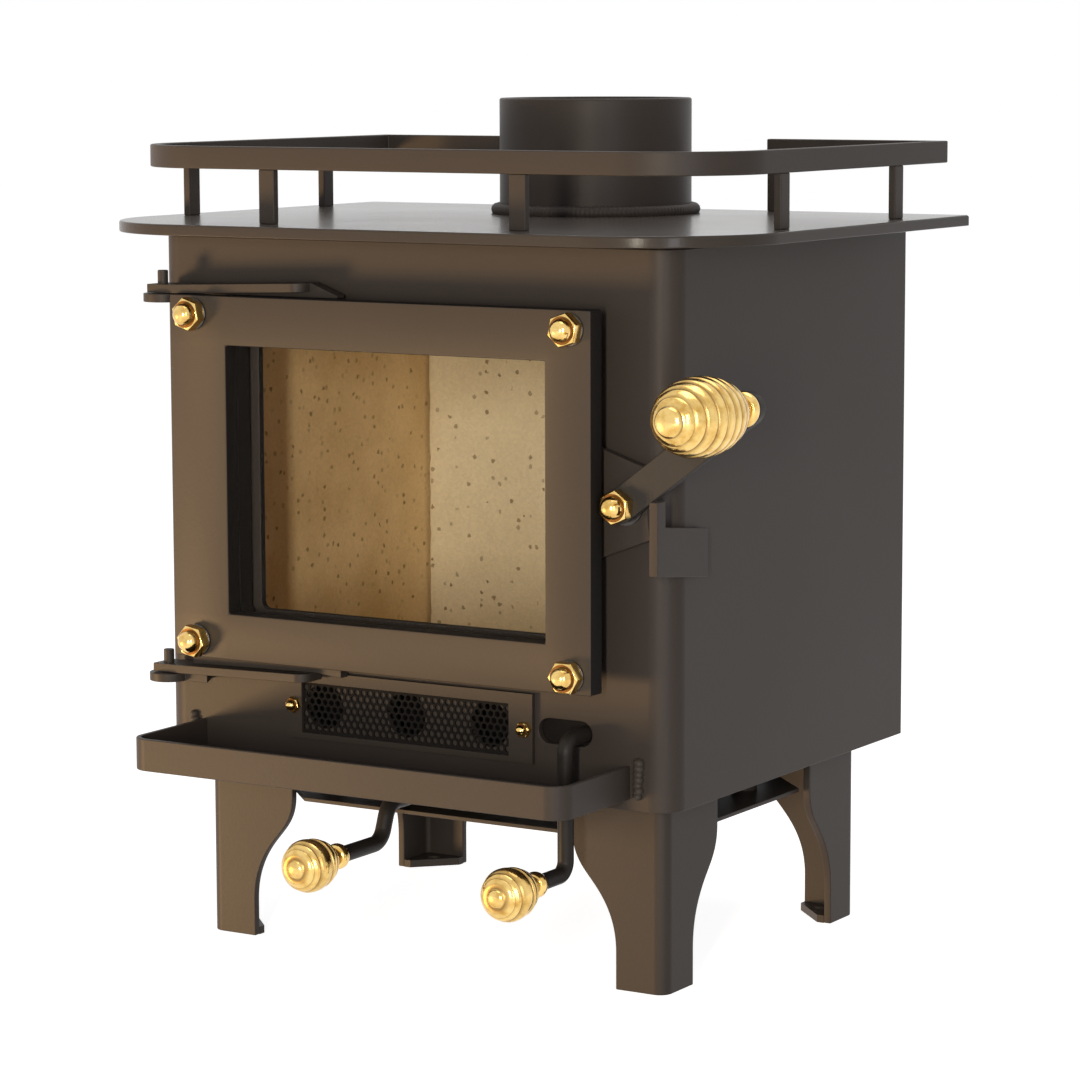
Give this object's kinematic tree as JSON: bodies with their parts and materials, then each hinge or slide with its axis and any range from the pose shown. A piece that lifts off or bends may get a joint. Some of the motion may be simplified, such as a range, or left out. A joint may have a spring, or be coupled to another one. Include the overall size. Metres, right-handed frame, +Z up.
{
  "type": "wood burner",
  "caption": "Small free-standing steel wood burner with hinged glazed door, round flue collar, hotplate rail, ash lip, folded legs and sliding air controls.",
  "frame": {"origin": "on the floor, at the centre of the four foot bolt holes", "axes": "+Z up along the flue, the door faces -Y, +X to the right seen from the front"},
  "size_m": [0.3016, 0.2619, 0.3241],
  "materials": {
    "stove_paint": "matt, warm dark metallic",
    "bare_steel": "satin",
    "rod_steel": "satin black",
    "polished_brass": "polished",
    "fire_board": "matt pressed mineral board",
    "grate_iron": "matt",
    "stove_glass": "clear",
    "stove_rope": "matt woven",
    "gasket_tape": "matt woven"
  },
  "bodies": {
    "stove": {"air_box": "stove_paint", "air_cover": "stove_paint", "air_mesh": "stove_paint", "air_nuts": "polished_brass", "air_studs": "bare_steel", "ash_lip": "stove_paint", "back_panel": "stove_paint", "baffle": "fire_board", "body_shell": "stove_paint", "brick_back": "fire_board", "brick_left": "fire_board", "brick_right": "fire_board", "catch_plate": "stove_paint", "collar_weld": "stove_paint", "floor_guides": "stove_paint", "floor_plate": "stove_paint", "flue_collar": "stove_paint", "foot_plates": "stove_paint", "front_guides": "stove_paint", "grate": "grate_iron", "hearth_brick": "fire_board", "heat_shield": "stove_paint", "hinge_bracket_lower": "stove_paint", "hinge_bracket_upper": "stove_paint", "hinge_pins": "stove_paint", "leg_front_left": "stove_paint", "leg_front_right": "stove_paint", "leg_rear_left": "stove_paint", "leg_rear_right": "stove_paint", "rail": "stove_paint", "rail_posts": "stove_paint", "shield_bolts": "bare_steel", "shield_spacers": "stove_paint", "top_plate": "stove_paint", "top_ring": "stove_paint"},
    "door": {"door_frame": "stove_paint", "door_glass": "stove_glass", "glass_gasket": "gasket_tape", "door_back_frame": "stove_paint", "door_rope": "stove_rope", "door_studs": "bare_steel", "door_washers": "bare_steel", "door_nuts": "polished_brass", "hinge_leaf_upper": "stove_paint", "hinge_leaf_lower": "stove_paint", "latch_bracket": "stove_paint", "latch_stud": "bare_steel", "latch_washer": "bare_steel", "latch_nut": "polished_brass"},
    "latch": {"latch_lever": "stove_paint", "latch_knob": "polished_brass", "knob_screw": "bare_steel"},
    "front_air": {"front_slider": "bare_steel", "front_rod": "rod_steel", "front_knob": "polished_brass"},
    "floor_air": {"floor_slider": "bare_steel", "floor_rod": "rod_steel", "floor_knob": "polished_brass"}
  },
  "joints": [
    {"name": "door_hinge", "type": "hinge", "parent": "stove", "child": "door", "pos_m": [-0.1025, -0.1016, 0.18], "axis": [0, 0, -1], "range_deg": [0, 120]},
    {"name": "latch_turn", "type": "hinge", "parent": "door", "child": "latch", "pos_m": [0.097, -0.099, 0.1826], "axis": [0, -1, 0], "range_deg": [-20, 40]},
    {"name": "front_air_slide", "type": "slide", "parent": "stove", "child": "front_air", "axis": [-1, 0, 0], "range_m": [0, 0.016]},
    {"name": "floor_air_slide", "type": "slide", "parent": "stove", "child": "floor_air", "axis": [0, -1, 0], "range_m": [0, 0.02]}
  ]
}
